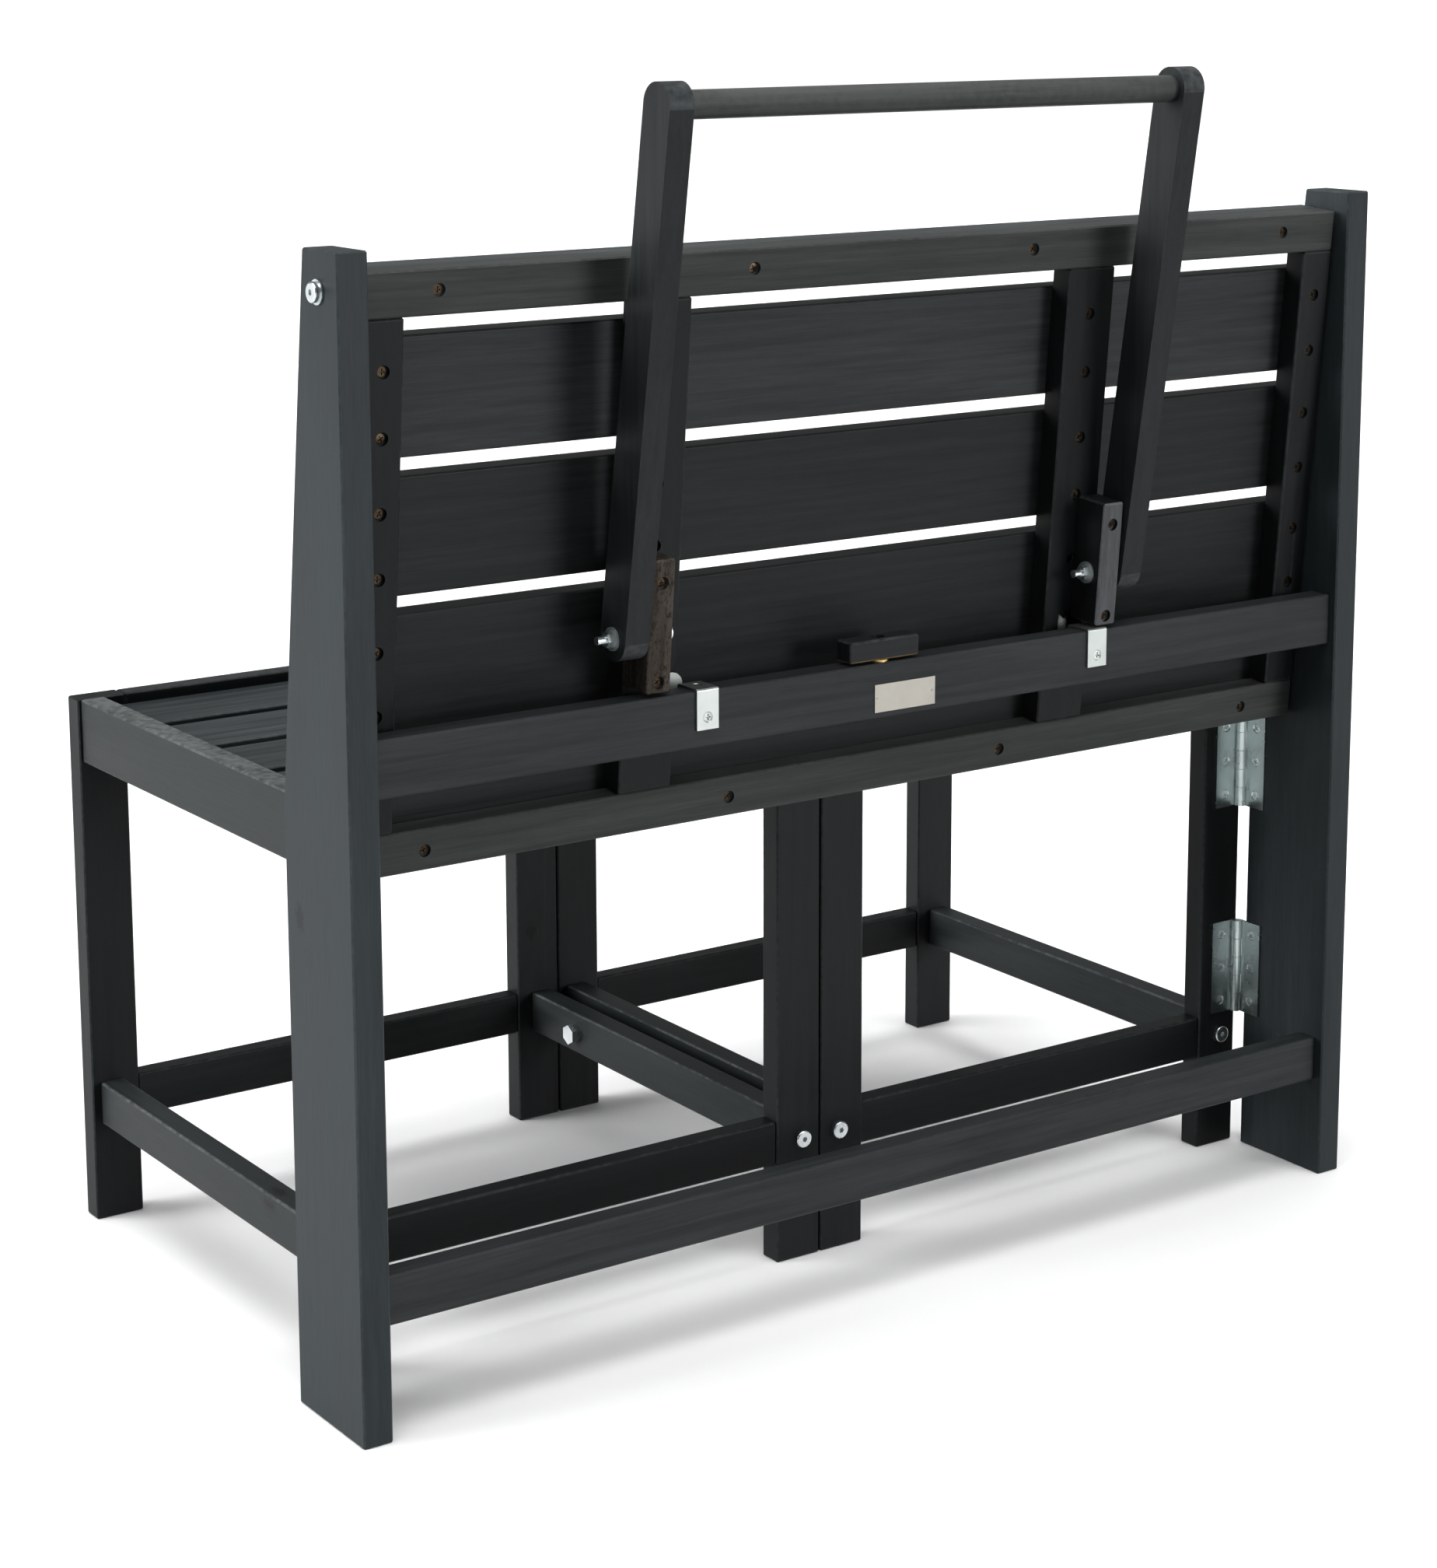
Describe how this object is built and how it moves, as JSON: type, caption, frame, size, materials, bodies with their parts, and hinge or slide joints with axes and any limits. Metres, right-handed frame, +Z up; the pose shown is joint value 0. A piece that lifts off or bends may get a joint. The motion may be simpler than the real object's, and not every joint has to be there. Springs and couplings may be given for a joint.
{
  "type": "convertible picnic table bench",
  "caption": "Slatted wooden garden bench whose back rest folds into a table top on a hinged support leg, and whose seat units swing outwards on butt hinges.",
  "frame": {"origin": "on the floor, under the middle of the bounding box", "axes": "+X to the sitter's left along the bench, the sitter faces -Y, +Z up"},
  "size_m": [0.9384, 0.575, 0.9244],
  "materials": {
    "stained_wood": "satin charcoal stain, fine grain, lighter worn edges",
    "worn_wood": "worn dark grey stain",
    "raw_wood": "raw, rough sawn",
    "zinc": "bright zinc plated",
    "brass": "yellow passivated",
    "nickel": "satin"
  },
  "bodies": {
    "frame": {"post_left": "stained_wood", "post_right": "stained_wood", "mid_rail": "stained_wood", "bottom_rail": "stained_wood", "rail_dowels": "raw_wood", "support_hooks": "zinc", "hook_screws": "zinc", "blank_plate": "nickel", "plate_pins": "zinc", "post_hinge_leaves": "zinc", "post_hinge_screws": "zinc", "hinge_pins": "zinc", "turn_button_washer": "brass", "turn_button_screw": "zinc"},
    "table_top": {"table_top_rail": "stained_wood", "table_bottom_rail": "stained_wood", "table_end_battens": "stained_wood", "table_batten_left": "stained_wood", "table_batten_right": "stained_wood", "table_slat_1": "stained_wood", "table_slat_2": "stained_wood", "table_slat_3": "stained_wood", "table_slat_4": "stained_wood", "table_slat_5": "stained_wood", "pivot_block_left": "raw_wood", "pivot_block_right": "worn_wood", "slat_screws": "brass", "rail_screws": "brass", "block_screws": "brass", "table_pivot_bolts": "zinc", "table_pivot_washers": "zinc"},
    "support_leg": {"support_arm_left": "stained_wood", "support_arm_right": "stained_wood", "support_bar": "stained_wood", "support_bolts": "zinc", "support_washers": "zinc", "support_nuts": "zinc"},
    "seat_left": {"seat_left_legs": "stained_wood", "seat_left_cross_aprons": "stained_wood", "seat_left_side_aprons": "stained_wood", "seat_left_cross_stretchers": "stained_wood", "seat_left_side_stretchers": "stained_wood", "seat_left_slats": "stained_wood", "seat_left_slat_cleats": "stained_wood", "seat_left_bolts": "zinc", "seat_left_bolt_nuts": "zinc", "seat_left_hinge_leaves": "zinc", "seat_left_hinge_screws": "zinc"},
    "seat_right": {"seat_right_legs": "stained_wood", "seat_right_cross_aprons": "stained_wood", "seat_right_side_aprons": "stained_wood", "seat_right_cross_stretchers": "stained_wood", "seat_right_side_stretchers": "stained_wood", "seat_right_slats": "stained_wood", "seat_right_slat_cleats": "stained_wood", "seat_right_bolts": "zinc", "seat_right_bolt_nuts": "zinc", "seat_right_hinge_leaves": "zinc", "seat_right_hinge_screws": "zinc"},
    "turn_button": {"turn_button": "stained_wood"}
  },
  "joints": [
    {"name": "table_tilt", "type": "hinge", "parent": "frame", "child": "table_top", "pos_m": [0, 0.20325, 0.7924], "axis": [-1, 0, 0], "range_deg": [0, 2]},
    {"name": "support_leg_swing", "type": "hinge", "parent": "table_top", "child": "support_leg", "pos_m": [0, 0.21221, 0.538], "axis": [-1, 0, 0], "range_deg": [-3, 120]},
    {"name": "seat_left_swing", "type": "hinge", "parent": "frame", "child": "seat_left", "pos_m": [0.43625, 0.1293, 0.24775], "axis": [0, 0, 1], "range_deg": [0, 90]},
    {"name": "seat_right_swing", "type": "hinge", "parent": "frame", "child": "seat_right", "pos_m": [-0.43625, 0.1293, 0.24775], "axis": [0, 0, -1], "range_deg": [0, 90]},
    {"name": "turn_button_turn", "type": "hinge", "parent": "frame", "child": "turn_button", "pos_m": [0.013, 0.21255, 0.503], "axis": [0, 0, 1], "continuous": true}
  ]
}
